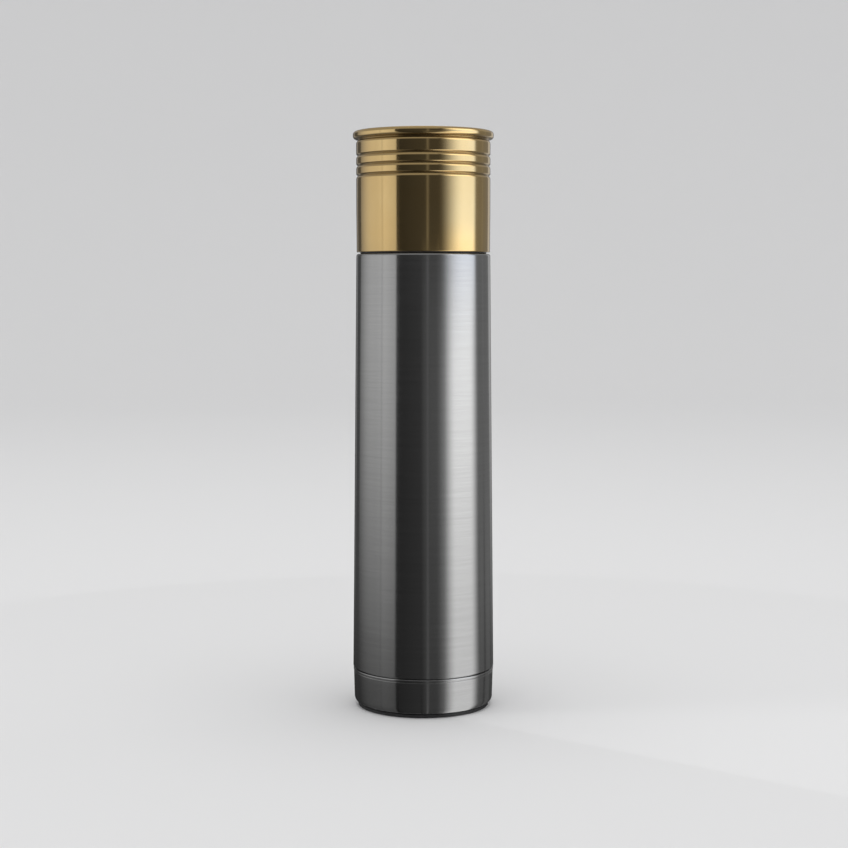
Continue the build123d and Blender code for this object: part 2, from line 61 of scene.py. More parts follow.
STEEL_WALL = 0.0006
BODY_FLARE = 0.0022  # from the body's radius at the shoulder to that at its base
NECK_STEP = 0.0005  # neck radius beyond the stopper's seal
NECK_THICKNESS = 0.0043  # both neck tubes and the vacuum between them
VESSEL_INSET = 0.0035  # from the outer body's surface to the vessel's
VESSEL_DROP = 0.0041  # from the outer shoulder to the vessel's
VESSEL_ROUND = 0.0080
VESSEL_TOP_ROUND = 0.0040
NECK_ROUND = 0.0008  # inside the corner between a shoulder and its neck
LIP_ROUND = 0.00025
THREAD_LEAD = 0.015
THREAD_STARTS = 3
THREAD_HEIGHT = 0.0013
THREAD_ROOT = 0.0018
THREAD_CREST = 0.0009
THREAD_SUNK = 0.0001  # the back of a ridge lies this far under the wall
NECK_TURN = 150  # degrees that each ridge runs round the neck
INNER_THREAD_DROP = 0.0149  # from the lip down to the start of the ridges
SIDES = 256
SHARP_ANGLE = 38  # degrees; from here on an edge is shaded sharp


class Socket:
    """A shader socket. Arithmetic on it adds Math nodes to its own node tree."""

    def __init__(self, tree, socket):
        self.tree = tree
        self.socket = socket

    def math(self, operation, *values):
        node = self.tree.nodes.new("ShaderNodeMath")
        node.operation = operation
        for place, value in zip(node.inputs, values):
            if isinstance(value, Socket):
                self.tree.links.new(value.socket, place)
            else:
                place.default_value = value
        return Socket(self.tree, node.outputs[0])

    def __add__(self, other):
        return self.math("ADD", self, other)

    def __radd__(self, other):
        return self.math("ADD", other, self)

    def __mul__(self, other):
        return self.math("MULTIPLY", self, other)

    def __rmul__(self, other):
        return self.math("MULTIPLY", other, self)

    def ramp(self, low, high):
        """0 up to low, 1 from high, and straight between; high may be the lower of the two."""
        straight = self.math("MULTIPLY_ADD", self, 1 / (high - low), -low / (high - low))
        return straight.math("MINIMUM", straight.math("MAXIMUM", straight, 0.0), 1.0)


class Finish:
    """A material in the making. What is the same all over goes straight onto the shader."""

    def __init__(self, name, **constants):
        self.material = bpy.data.materials.new(name)
        self.material.use_nodes = True
        self.tree = self.material.node_tree
        self.shader = self.tree.nodes["Principled BSDF"]
        for socket, value in constants.items():
            self.shader.inputs[socket.replace("_", " ")].default_value = value

    def node(self, kind, settings, sockets, output=0):
        """Any node: its settings first, then the values or links of its sockets."""
        node = self.tree.nodes.new(kind)
        for key, value in settings.items():
            setattr(node, key, value)
        for key, value in sockets.items():
            if isinstance(value, Socket):
                self.tree.links.new(value.socket, node.inputs[key])
            else:
                node.inputs[key].default_value = value
        return Socket(self.tree, node.outputs[output])

    def vector(self, operation, a, b, output=0):
        return self.node("ShaderNodeVectorMath", {"operation": operation}, {0: a, 1: b}, output)

    def spot(self, across=1.0, along=1.0):
        """Object coordinates, measured in pattern cells: across in X and Y, along in Z."""
        place = self.node("ShaderNodeTexCoord", {}, {}, "Object")
        return self.vector("MULTIPLY", place, (1 / across, 1 / across, 1 / along))

    def noise(self, across, along=None, detail=2.0, rough=0.5):
        """Noise with cells of this size, from 0 to 1 and about 0.5 on average."""
        sockets = {"Vector": self.spot(across, along or across), "Scale": 1.0}
        sockets |= {"Detail": detail, "Roughness": rough}
        return self.node("ShaderNodeTexNoise", {}, sockets)

    def cells(self, size):
        """Distance to the nearest of scattered points, 0 at a point and about 1 between them."""
        sockets = {"Vector": self.spot(size, size), "Scale": 1.0}
        return self.node("ShaderNodeTexVoronoi", {}, sockets)

    def reach(self):
        """Distance from the Z axis, in metres."""
        flat = self.vector("MULTIPLY", self.spot(), (1.0, 1.0, 0.0))
        return self.vector("LENGTH", flat, (0.0, 0.0, 0.0), "Value")

    def height(self):
        """Height above the floor, in metres."""
        return self.vector("DOT_PRODUCT", self.spot(), (0.0, 0.0, 1.0), "Value")

    def mix(self, factor, a, b):
        """Colour a where factor is 0 and colour b where it is 1."""
        return self.node("ShaderNodeMix", {"data_type": "RGBA"}, {0: factor, 6: a, 7: b}, 2)

    def feed(self, socket, value):
        """Link what varies over the surface into the shader."""
        self.tree.links.new(value.socket, self.shader.inputs[socket])

    def relief(self, height, depth):
        """Bump: height from 0 to 1 stands for this depth in metres."""
        self.feed("Normal", self.node("ShaderNodeBump", {}, {"Height": height, "Distance": depth}))


def colour(r, g, b):
    return (r, g, b, 1.0)


def top(node):
    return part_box(node)[1].z


def bottom(node):
    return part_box(node)[0].z


def radius(node):
    """Largest radius of a round CAD node."""
    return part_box(node)[1].x


def rounded(corners, steps=7):
    """Outline through (r, z) corners, anticlockwise round the material. A third value rounds one.

    A rounded corner is an arc tangent to both its sides: its centre lies on the bisector, at
    radius / sin(half the corner's angle), and its points turn evenly between the touch points. A
    point just outside each touch point keeps the shading of a long flat side flat.
    """
    spots = np.array([corner[:2] for corner in corners], float)
    sizes = np.array([corner[2] if len(corner) > 2 else 0 for corner in corners], float)
    ahead = np.roll(spots, -1, axis=0) - spots
    length = np.linalg.norm(ahead, axis=1)
    ahead = ahead / length[:, None]
    back = -np.roll(ahead, 1, axis=0)
    half = np.arccos(np.sum(back * ahead, axis=1)) / 2
    touch = sizes / np.tan(half)
    straight = length - touch - np.roll(touch, -1)
    outline = []
    for n, here in enumerate(spots):
        if not sizes[n]:
            outline.append(here[None])
            continue
        inward = back[n] + ahead[n]
        centre = here + inward / np.linalg.norm(inward) * sizes[n] / math.sin(half[n])
        start = here + back[n] * touch[n]
        end = here + ahead[n] * touch[n]
        sweep = math.pi - 2 * half[n]
        t = np.linspace(0, 1, steps)[:, None]
        arc = np.sin((1 - t) * sweep) * (start - centre) + np.sin(t * sweep) * (end - centre)
        outline += [
            (start + back[n] * min(sizes[n] * 0.1, straight[n - 1] * 0.3))[None],
            centre + arc / math.sin(sweep),
            (end + ahead[n] * min(sizes[n] * 0.1, straight[n] * 0.3))[None],
        ]
    return np.concatenate(outline)


def turned(outline, sides=SIDES):
    """Grid of the outline swept round Z: x = r cos a, y = r sin a, z = z, with rows along it."""
    angle = np.linspace(0, 2 * math.pi, sides, endpoint=False)
    r, z = outline[:, :1], outline[:, 1:]
    return np.stack([r * np.cos(angle), r * np.sin(angle), z + 0 * angle], axis=2)


def ridges(wall, outward, z, turn, tip=16):
    """Grids of the thread's ridges on a wall of this radius, one for each start.

    A ridge is a bump carried along a helix. Along it the angle grows evenly and the mid-line
    climbs by lead * angle / 360. Across it the outline is a trapezium with rounded corners: its
    width eases from root to crest by a raised cosine, and its back lies under the wall. Both ends
    shrink to a point by a quarter sine.
    """
    turns = np.linspace(-tip, turn + tip, int((turn + 2 * tip) / 1.5))[:, None]
    size = np.sin(np.clip(np.minimum(turns + tip, turn + tip - turns) / tip, 0, 1) * math.pi / 2)
    loop = np.linspace(0, 2 * math.pi, 32, endpoint=False)
    # The sine and cosine are stretched and cut off, which makes the flats at crest, back and sides.
    rise = np.clip(np.sin(loop) * 2.2, -0.3, 1)
    rise = np.where(rise > 0, (1 - np.cos(rise * math.pi)) / 2, rise)
    width = np.where(rise > 0, THREAD_ROOT + (THREAD_CREST - THREAD_ROOT) * rise, THREAD_ROOT) / 2
    side = np.clip(np.cos(loop) * 1.35, -1, 1)
    height = (THREAD_SUNK + THREAD_HEIGHT * rise) * size - THREAD_SUNK
    grids = []
    for first in range(THREAD_STARTS):
        a = np.radians(turns + 360 / THREAD_STARTS * first)
        r = wall + outward * height
        climb = z + THREAD_LEAD * turns / 360 + outward * width * side * size
        grids.append((np.stack([r * np.cos(a), r * np.sin(a), climb], axis=2), False))
    return grids


def piece(name, grids, finish, body, slot, *nodes):
    """One object from point grids. It rides on a body and replaces CAD nodes.

    Each grid is (points, closed): quads join neighbours, columns always close on themselves, and
    rows do where closed is true. Points that fall together at a pole are merged.
    """
    points, faces, first = [], [], 0
    for grid, closed in grids:
        rows, columns = grid.shape[:2]
        i = np.arange(rows if closed else rows - 1)[:, None]
        j = np.arange(columns)[None]
        here, ahead, beside = i * columns, (i + 1) % rows * columns, (j + 1) % columns
        quads = np.stack([here + j, here + beside, ahead + beside, ahead + j], axis=2)
        points.append(grid.reshape(-1, 3))
        faces.append(quads.reshape(-1, 4) + first)
        first += rows * columns
    mesh = bpy.data.meshes.new(name)
    mesh.from_pydata(np.concatenate(points).tolist(), [], np.concatenate(faces).tolist())
    shape = bmesh.new()
    shape.from_mesh(mesh)
    bmesh.ops.remove_doubles(shape, verts=shape.verts, dist=1e-7)
    shape.to_mesh(mesh)
    shape.free()
    mesh.shade_smooth()
    mesh.set_sharp_from_angle(angle=math.radians(SHARP_ANGLE))
    mesh.materials.append(finish.material)
    made = bpy.data.objects.new(name, mesh)
    bpy.context.scene.collection.objects.link(made)
    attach(made, body)
    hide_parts(*nodes)
    return made


def dress(finish, *nodes):
    """Give CAD nodes that stay their own finish."""
    for node in nodes:
        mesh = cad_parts[node].data
        mesh.materials.clear()
        mesh.materials.append(finish.material)


shoulder = bottom("cup_seal_ring")
lip_top = top("inner_vessel")
body_base_radius = radius("outer_shell")
body_shoulder_radius = body_base_radius - BODY_FLARE
neck_radius = radius("stopper_seal") + NECK_STEP
mouth_radius = neck_radius - NECK_THICKNESS
vessel_radius = radius("inner_vessel")
vessel_top_radius = body_shoulder_radius - VESSEL_INSET
vessel_bottom = bottom("inner_vessel")
vessel_shoulder = shoulder - VESSEL_DROP

polished_steel = Finish("electropolished_steel", Metallic=1.0)
cloud = polished_steel.noise(0.012, detail=3.0)
draw_lines = polished_steel.noise(0.008, 0.0004)
polished_steel.feed(
    "Base Color", polished_steel.mix(cloud, colour(0.52, 0.52, 0.515), colour(0.62, 0.62, 0.615))
)
polished_steel.feed("Roughness", 0.17 + 0.10 * cloud + 0.08 * draw_lines)
polished_steel.relief(draw_lines, 0.000006)

vessel_outline = rounded(
    [
        (0, vessel_bottom),
        (vessel_radius, vessel_bottom, VESSEL_ROUND),
        (vessel_top_radius, vessel_shoulder, VESSEL_TOP_ROUND),
        (mouth_radius + STEEL_WALL, vessel_shoulder, NECK_ROUND + STEEL_WALL),
        (mouth_radius + STEEL_WALL, lip_top - STEEL_WALL),
        (neck_radius, lip_top - STEEL_WALL),
        (neck_radius, lip_top, LIP_ROUND),
        (mouth_radius, lip_top, LIP_ROUND),
        (mouth_radius, vessel_shoulder - STEEL_WALL, NECK_ROUND),
        (
            vessel_top_radius - STEEL_WALL,
            vessel_shoulder - STEEL_WALL,
            VESSEL_TOP_ROUND - STEEL_WALL,
        ),
        (vessel_radius - STEEL_WALL, vessel_bottom + STEEL_WALL, VESSEL_ROUND - STEEL_WALL),
        (0, vessel_bottom + STEEL_WALL),
    ]
)
inner_thread_start = lip_top - INNER_THREAD_DROP
piece(
    "vessel",
    [(turned(vessel_outline), False)] + ridges(mouth_radius, -1, inner_thread_start, NECK_TURN),
    polished_steel,
    "flask",
    "plain_steel",
    "inner_vessel",
)


# ---- radiation foil ----
# Bright copper foil wrapped round the vessel inside the vacuum, against radiated heat. It is
# crumpled by hand and held by its own wrap.

foil = Finish("copper_foil", Metallic=1.0)
crease = foil.noise(0.006, 0.009, detail=4.0, rough=0.6)
foil.feed("Base Color", foil.mix(crease, colour(0.72, 0.36, 0.22), colour(0.90, 0.55, 0.40)))
foil.feed("Roughness", 0.18 + 0.15 * crease)
foil.relief(crease, 0.0003)
dress(foil, "copper_foil")


# ---- outer body ----
# The outer tube, drawn from stainless steel, flared a little towards its base, rounded at the
# shoulder, and brushed round and round on a lathe. Its neck carries the cup's thread.

SHOULDER_ROUND = 0.0012
BODY_SEAM = 0.0007  # open groove between body and base cap
OUTER_THREAD_RISE = 0.0064  # from the shoulder up to the start of the ridges

body_bottom = top("base_cap") + BODY_SEAM
spigot = radius("bottom_disc") + STEEL_WALL
outer_thread_start = shoulder + OUTER_THREAD_RISE

brushed_steel = Finish("brushed_steel", Metallic=1.0, Anisotropic=0.85, Anisotropic_Rotation=0.25)
hair = brushed_steel.noise(0.020, 0.00028, detail=2.0, rough=0.6)
streak = brushed_steel.noise(0.050, 0.0012, detail=3.0, rough=0.6)
smudge = brushed_steel.noise(0.022, 0.030, detail=4.0)
lay = 0.6 * hair + 0.4 * streak
brushed_steel.feed(
    "Base Color",
    brushed_steel.mix(lay.ramp(0.3, 0.7), colour(0.48, 0.48, 0.477), colour(0.54, 0.54, 0.537)),
)
brushed_steel.feed("Roughness", 0.13 + 0.08 * streak + 0.05 * smudge)
brushed_steel.relief(lay, 0.000003)

body_outline = rounded(
    [
        (spigot, bottom("outer_shell")),
        (spigot, body_bottom),
        (body_base_radius, body_bottom, 0.00015),
        (body_shoulder_radius, shoulder, SHOULDER_ROUND),
        (neck_radius, shoulder, NECK_ROUND),
        (neck_radius, top("outer_shell")),
        (neck_radius - STEEL_WALL, top("outer_shell")),
        (neck_radius - STEEL_WALL, shoulder - STEEL_WALL, NECK_ROUND + STEEL_WALL),
        (body_shoulder_radius - STEEL_WALL, shoulder - STEEL_WALL, SHOULDER_ROUND - STEEL_WALL),
        (body_base_radius - STEEL_WALL, body_bottom + STEEL_WALL),
        (spigot - STEEL_WALL, body_bottom + STEEL_WALL),
        (spigot - STEEL_WALL, bottom("outer_shell")),
    ]
)
piece(
    "body",
    [(turned(body_outline), True)] + ridges(neck_radius, 1, outer_thread_start, NECK_TURN),
    brushed_steel,
    "flask",
    "brushed_body",
    "outer_shell",
)


# ---- bottom closure and getter ----
# A pressed steel plate welded into the body's lower end. Solder closes its pumping hole from
# below, and a spot-welded strap above it carries the pressed getter tablet.

solder = Finish("solder", Metallic=1.0)
blot = solder.noise(0.0015, detail=4.0)
solder.feed("Base Color", solder.mix(blot, colour(0.40, 0.40, 0.39), colour(0.62, 0.62, 0.60)))
solder.feed("Roughness", 0.30 + 0.30 * blot)
solder.relief(blot, 0.00010)

getter_powder = Finish("getter_powder", Roughness=0.9)
speck = getter_powder.noise(0.0005, detail=3.0)
getter_powder.feed(
    "Base Color", getter_powder.mix(speck, colour(0.10, 0.10, 0.11), colour(0.24, 0.24, 0.25))
)
getter_powder.relief(speck, 0.00010)

dress(polished_steel, "bottom_disc", "getter_clip")
dress(solder, "vacuum_seal_bead")
dress(getter_powder, "getter_tablet")


# ---- base cap ----
# A pressed steel cup pushed over the body's lower end. Its top edge is rolled, with a fine line
# under it, its floor has a raised panel, and it is brushed like the body.

CAP_WALL = 0.0008
CAP_STEP = 0.0003  # cap radius below the body's
CAP_TAPER = 0.00045
ROLL_HEIGHT = 0.0014
LINE_DEPTH = 0.0003
CAP_ROUND = 0.0030
PANEL_INSET = 0.0092
PANEL_RISE = 0.0020

cap_radius = body_base_radius - CAP_STEP
cap_foot_radius = cap_radius - CAP_TAPER
cap_floor = bottom("base_cap")
cap_top = top("base_cap")
line_top = cap_top - ROLL_HEIGHT
panel_radius = radius("foot_ring") - PANEL_INSET
cap_outline = rounded(
    [
        (0, cap_floor + PANEL_RISE),
        (panel_radius - PANEL_RISE / 2, cap_floor + PANEL_RISE, CAP_WALL),
        (panel_radius, cap_floor, CAP_WALL),
        (cap_foot_radius, cap_floor, CAP_ROUND),
        (cap_radius, line_top - LINE_DEPTH * 1.5, 0.00015),
        (cap_radius - LINE_DEPTH, line_top - LINE_DEPTH / 2, 0.00010),
        (radius("base_cap"), line_top, 0.00035),
        (radius("base_cap"), cap_top, 0.00060),
        (cap_radius - CAP_WALL, cap_top, 0.00015),
        (cap_foot_radius - CAP_WALL, cap_floor + CAP_WALL, CAP_ROUND - CAP_WALL),
        (panel_radius + PANEL_RISE / 2, cap_floor + CAP_WALL, CAP_WALL),
        (panel_radius, cap_floor + PANEL_RISE + CAP_WALL, CAP_WALL),
        (0, cap_floor + PANEL_RISE + CAP_WALL),
    ]
)
piece(
    "lower_cap", [(turned(cap_outline), False)], brushed_steel, "flask", "brushed_body", "base_cap"
)


# ---- foot ----
# A moulded black silicone ring glued into the base, so that the flask stands without sliding.

FOOT_WIDTH = 0.0070
FOOT_ROUND = 0.0004

foot_radius = radius("foot_ring")
foot_silicone = Finish("foot_silicone", Roughness=0.6)
dust = foot_silicone.noise(0.003, detail=4.0)
foot_silicone.feed(
    "Base Color", foot_silicone.mix(dust, colour(0.016, 0.016, 0.017), colour(0.045, 0.045, 0.047))
)
foot_silicone.relief(foot_silicone.noise(0.0004), 0.000020)
foot_outline = rounded(
    [
        (foot_radius - FOOT_WIDTH, bottom("foot_ring"), FOOT_ROUND),
        (foot_radius, bottom("foot_ring"), FOOT_ROUND),
        (foot_radius, top("foot_ring"), FOOT_ROUND),
        (foot_radius - FOOT_WIDTH, top("foot_ring")),
    ]
)
piece(
    "foot", [(turned(foot_outline), True)], foot_silicone, "flask", "black_silicone", "foot_ring"
)


# ---- stopper seal ----
# A milky silicone ring between the lip and the stopper's flange, with soft round edges.

SEAL_CLEARANCE = 0.0003  # from the plug to the ring
THREAD_CLEARANCE = 0.0003  # from the crest of the neck's ridges to the plug

plug_radius = mouth_radius - THREAD_HEIGHT - THREAD_CLEARANCE
milky_silicone = Finish("milky_silicone", Roughness=0.42)
bloom = milky_silicone.noise(0.004, detail=3.0)
milky_silicone.feed(
    "Base Color", milky_silicone.mix(bloom, colour(0.66, 0.66, 0.64), colour(0.80, 0.80, 0.78))
)
milky_silicone.relief(milky_silicone.noise(0.0005), 0.000010)


def seal_outline(node, bore, edge=0.0004):
    """Square ring outline of a CAD node with soft corners."""
    low, high, rim = bottom(node), top(node), radius(node)
    return rounded([(bore, low, edge), (rim, low, edge), (rim, high, edge), (bore, high, edge)])


piece(
    "mouth_seal",
    [(turned(seal_outline("stopper_seal", plug_radius + SEAL_CLEARANCE)), True)],
    milky_silicone,
    "stopper_ring",
    "clear_silicone",
    "stopper_seal",
)


# ---- stopper plug ----
# One black polypropylene moulding: a floor with the valve's port, the pour duct, the threaded
# wall, and the flange that presses on the seal. Its flange has a rebate for the spout ring.

PLUG_WALL = 0.0018
PLUG_FLOOR = 0.0020
PORT_RADIUS = 0.0095
DUCT_RADIUS = 0.0110
DUCT_WALL = 0.0012
FLANGE_WALL = 0.0022
RIDGE_OFFSET = 0.001396  # between the mid-lines of two mating ridges
MATE_TURN = 80

plug_floor = bottom("stopper_body")
flange_radius = radius("stopper_body")
flange_top = top("stopper_body")
waist_radius = radius("spout_ring")

black_plastic = Finish("black_polypropylene", Specular_IOR_Level=0.4)
spark = black_plastic.noise(0.00035, detail=1.0)
rub = black_plastic.noise(0.010, detail=4.0)
black_plastic.feed(
    "Base Color", black_plastic.mix(rub, colour(0.018, 0.018, 0.019), colour(0.034, 0.034, 0.036))
)
black_plastic.feed("Roughness", 0.38 + 0.14 * rub)
black_plastic.relief(spark, 0.000018)

plug_outline = rounded(
    [
        (PORT_RADIUS, plug_floor, 0.0002),
        (plug_radius, plug_floor, PLUG_WALL / 2),
        (plug_radius, flange_top - FLANGE_WALL, 0.0003),
        (flange_radius, flange_top - FLANGE_WALL, 0.0002),
        (flange_radius, flange_top, 0.00055),
        (waist_radius, flange_top, 0.00015),
        (waist_radius, bottom("spout_ring")),
        (plug_radius - PLUG_WALL, bottom("spout_ring"), 0.0002),
        (plug_radius - PLUG_WALL, plug_floor + PLUG_FLOOR, 0.0005),
        (DUCT_RADIUS + DUCT_WALL, plug_floor + PLUG_FLOOR, 0.0005),
        (DUCT_RADIUS + DUCT_WALL, top("insulation_lid"), 0.0003),
        (DUCT_RADIUS, top("insulation_lid"), 0.0003),
        (DUCT_RADIUS, plug_floor + PLUG_FLOOR, 0.0002),
        (PORT_RADIUS, plug_floor + PLUG_FLOOR, 0.0004),
    ]
)
plug_thread_start = inner_thread_start - RIDGE_OFFSET
piece(
    "plug",
    [(turned(plug_outline), True)] + ridges(plug_radius, 1, plug_thread_start, MATE_TURN),
    black_plastic,
    "stopper",
    "black_polypropylene",
    "stopper_body",
)


# ---- foam and lid ----
# Rigid white foam that fills the plug between duct and wall, shut in by a welded ring.

foam = Finish("white_foam", Roughness=0.85)
bubble = foam.cells(0.0011)
foam.feed("Base Color", foam.mix(bubble, colour(0.88, 0.87, 0.82), colour(0.70, 0.69, 0.64)))
foam.relief(bubble, 0.00030)
dress(foam, "insulation_ring")
dress(black_plastic, "insulation_lid")


# ---- waist of the stopper ----
# The spout ring, with a spout cut through on each side, is welded into the flange. In it sits the
# button's well, a hat-shaped moulding whose hub holds the o-ring that seals the stem.

dress(black_plastic, "spout_ring", "button_well")
dress(milky_silicone, "stem_oring")


# ---- finger grip ----
# A black cap pressed over the waist: its skirt has 24 flutes with round ends for the fingers, and
# its top has a hole for the button.

GRIP_WALL = 0.0016
GRIP_ROUND = 0.0012
GRIP_FOOT_ROUND = 0.0004
FLUTES = 24
FLUTE_RADIUS = 0.0014
FLUTE_DEPTH = 0.0008
FLUTE_COLUMNS = 18  # points of the grid across each flute and its land
SKIRT_ROWS = 28
WELL_RADIUS = 0.0130
GROOVE_FROM_HOLE = 0.0040
TOP_GROOVE_HALF = 0.0006
TOP_GROOVE_DEPTH = 0.0003


def fluted(outline, rim, foot, head):
    """Grid of an outline turned round Z with flutes cut into its side.

    A flute is an upright round bar of FLUTE_RADIUS with a ball end at the top, taken away. Seen
    from the Z axis its near side lies at c cos b - sqrt(w^2 - c^2 sin^2 b), where c is the bar's
    distance, w its half-width at that height and b the angle from its middle. A point keeps its
    own radius or takes that one, whichever is less.
    """
    columns = FLUTES * FLUTE_COLUMNS
    b = (np.arange(columns) / FLUTE_COLUMNS + 0.5) % 1 - 0.5
    b = b * 2 * math.pi / FLUTES
    c = rim + FLUTE_RADIUS - FLUTE_DEPTH
    r, z = outline[:, :1], outline[:, 1:]
    over = np.clip(z - (head - FLUTE_RADIUS), 0, FLUTE_RADIUS)
    square = FLUTE_RADIUS**2 - over**2 - (c * np.sin(b)) ** 2
    bar = np.where(square > 0, c * np.cos(b) - np.sqrt(np.maximum(square, 0)), 1.0)
    cut = np.where((z > foot) & (r > rim - GRIP_WALL / 2), np.minimum(r, bar), r + 0 * b)
    angle = np.arange(columns) * 2 * math.pi / columns
    return np.stack([cut * np.cos(angle), cut * np.sin(angle), z + 0 * cut], axis=2)


grip_low = bottom("stopper_cover")
grip_high = top("stopper_cover")
grip_radius = radius("stopper_cover")
grip_ceiling = grip_high - GRIP_WALL
groove_radius = WELL_RADIUS + GROOVE_FROM_HOLE
# The rows of the skirt keep clear of the rounded edge below and of the one above.
skirt = np.linspace(grip_low + 1.5 * GRIP_FOOT_ROUND, grip_high - 1.2 * GRIP_ROUND, SKIRT_ROWS)
skirt = skirt[:, None]
grip_outline = np.concatenate(
    [
        np.array([(grip_radius - GRIP_WALL, grip_ceiling), (grip_radius - GRIP_WALL, grip_low)]),
        rounded(
            [(0, grip_low), (grip_radius, grip_low, GRIP_FOOT_ROUND), (grip_radius, grip_high)]
        )[1:-1],
        np.hstack([grip_radius + 0 * skirt, skirt]),
        rounded(
            [(grip_radius, grip_low), (grip_radius, grip_high, GRIP_ROUND), (0, grip_high)],
            steps=12,
        )[1:-1],
        rounded(
            [
                (grip_radius, grip_high),
                (groove_radius + TOP_GROOVE_HALF, grip_high, 0.0002),
                (groove_radius, grip_high - TOP_GROOVE_DEPTH, 0.0002),
                (groove_radius - TOP_GROOVE_HALF, grip_high, 0.0002),
                (WELL_RADIUS, grip_high, 0.0004),
                (WELL_RADIUS, grip_ceiling),
            ]
        )[1:],
    ]
)
piece(
    "finger_grip",
    [(fluted(grip_outline, grip_radius, grip_low - 0.001, grip_high - FLUTE_DEPTH), True)],
    black_plastic,
    "stopper",
    "black_polypropylene",
    "stopper_cover",
)


# ---- valve ----
# A steel rod through the well carries a moulded disc with a silicone washer, which shuts the port
# from below. The push button on its top opens it, and a coil spring of steel wire brings it back.

STEM_RADIUS = 0.0020
HUB_RISE = 0.0025
SEAL_WIDTH = 0.0054
FIT_GAP = 0.00005
BUTTON_WALL = 0.0016
BUTTON_ROUND = 0.0010
BUTTON_DISH = 0.0006
DISH_EDGE = 0.0022  # from the button's side to the rim of its dish
BOSS_RADIUS = 0.0040
BOSS_LENGTH = 0.0054
SPRING_RADIUS = 0.0075
WIRE_RADIUS = 0.00045
SPRING_TURNS = 6.25
TURN_STEPS = 48
WIRE_SIDES = 16

head_bottom = bottom("valve_head")
head_top = top("valve_head") - HUB_RISE
seal_radius = radius("valve_seal")
spring_steel = Finish("spring_steel", Metallic=1.0)
wire_lines = spring_steel.noise(0.0006, detail=3.0)
spring_steel.feed(
    "Base Color", spring_steel.mix(wire_lines, colour(0.36, 0.36, 0.37), colour(0.50, 0.50, 0.51))
)
spring_steel.feed("Roughness", 0.22 + 0.16 * wire_lines)
spring_steel.relief(wire_lines, 0.000008)

stem_outline = rounded(
    [
        (0, bottom("valve_stem")),
        (radius("valve_stem"), bottom("valve_stem"), 0.0003),
        (radius("valve_stem"), head_bottom, 0.0001),
        (STEM_RADIUS, head_bottom),
        (STEM_RADIUS, top("valve_stem"), 0.0003),
        (0, top("valve_stem")),
    ]
)
piece(
    "stem", [(turned(stem_outline, 64), False)], spring_steel, "valve", "spring_steel", "valve_stem"
)

grey_plastic = Finish("grey_polypropylene", Specular_IOR_Level=0.4)
grey_spark = grey_plastic.noise(0.00035, detail=1.0)
grey_cloud = grey_plastic.noise(0.008, detail=3.0)
grey_plastic.feed(
    "Base Color", grey_plastic.mix(grey_cloud, colour(0.28, 0.28, 0.29), colour(0.34, 0.34, 0.35))
)
grey_plastic.feed("Roughness", 0.36 + 0.12 * grey_spark)
grey_plastic.relief(grey_spark, 0.000018)
head_outline = rounded(
    [
        (STEM_RADIUS + FIT_GAP, head_bottom),
        (radius("valve_head"), head_bottom, 0.0013),
        (radius("valve_head"), head_top, 0.0002),
        (seal_radius - SEAL_WIDTH - FIT_GAP, head_top),
        (seal_radius - SEAL_WIDTH - FIT_GAP, head_top + HUB_RISE, 0.0005),
        (STEM_RADIUS + FIT_GAP, head_top + HUB_RISE),
    ]
)
piece(
    "valve_disc",
    [(turned(head_outline, 128), True)],
    grey_plastic,
    "valve",
    "grey_polypropylene",
    "valve_head",
)
piece(
    "valve_washer",
    [(turned(seal_outline("valve_seal", seal_radius - SEAL_WIDTH, 0.0003), 128), True)],
    milky_silicone,
    "valve",
    "clear_silicone",
    "valve_seal",
)

button_plastic = Finish("button_plastic", Specular_IOR_Level=0.45)
button_spark = button_plastic.noise(0.00030, detail=1.0)
wear = button_plastic.noise(0.008)
button_plastic.feed(
    "Base Color", button_plastic.mix(wear, colour(0.10, 0.10, 0.103), colour(0.14, 0.14, 0.144))
)
button_plastic.feed("Roughness", 0.34 + 0.14 * button_spark)
button_plastic.relief(button_spark, 0.000015)

button_radius = radius("push_button")
button_top = top("push_button")
button_ceiling = button_top - BUTTON_WALL
socket_top = top("valve_stem")
# The dish is a parabola: it is deepest at the axis and level with the edge at its rim.
share = np.linspace(1, 0, 14)[:, None]
dish = share * (button_radius - DISH_EDGE)
dish_depth = BUTTON_DISH * (1 - share**2)
button_outline = np.concatenate(
    [
        rounded(
            [
                (0, socket_top),
                (STEM_RADIUS + FIT_GAP, socket_top),
                (STEM_RADIUS + FIT_GAP, button_ceiling - BOSS_LENGTH),
                (BOSS_RADIUS, button_ceiling - BOSS_LENGTH, 0.0003),
                (BOSS_RADIUS, button_ceiling, 0.0004),
                (button_radius - BUTTON_WALL, button_ceiling, 0.0004),
                (button_radius - BUTTON_WALL, bottom("push_button"), 0.0003),
                (button_radius, bottom("push_button"), 0.0003),
                (button_radius, button_ceiling),
            ]
        )[:-1],
        rounded(
            [
                (button_radius, button_ceiling),
                (button_radius, button_top, BUTTON_ROUND),
                (0, button_top),
            ]
        )[1:-1],
        np.hstack([dish, button_top - dish_depth]),
    ]
)
piece(
    "button",
    [(turned(button_outline, 128), False)],
    button_plastic,
    "valve",
    "button_plastic",
    "push_button",
)


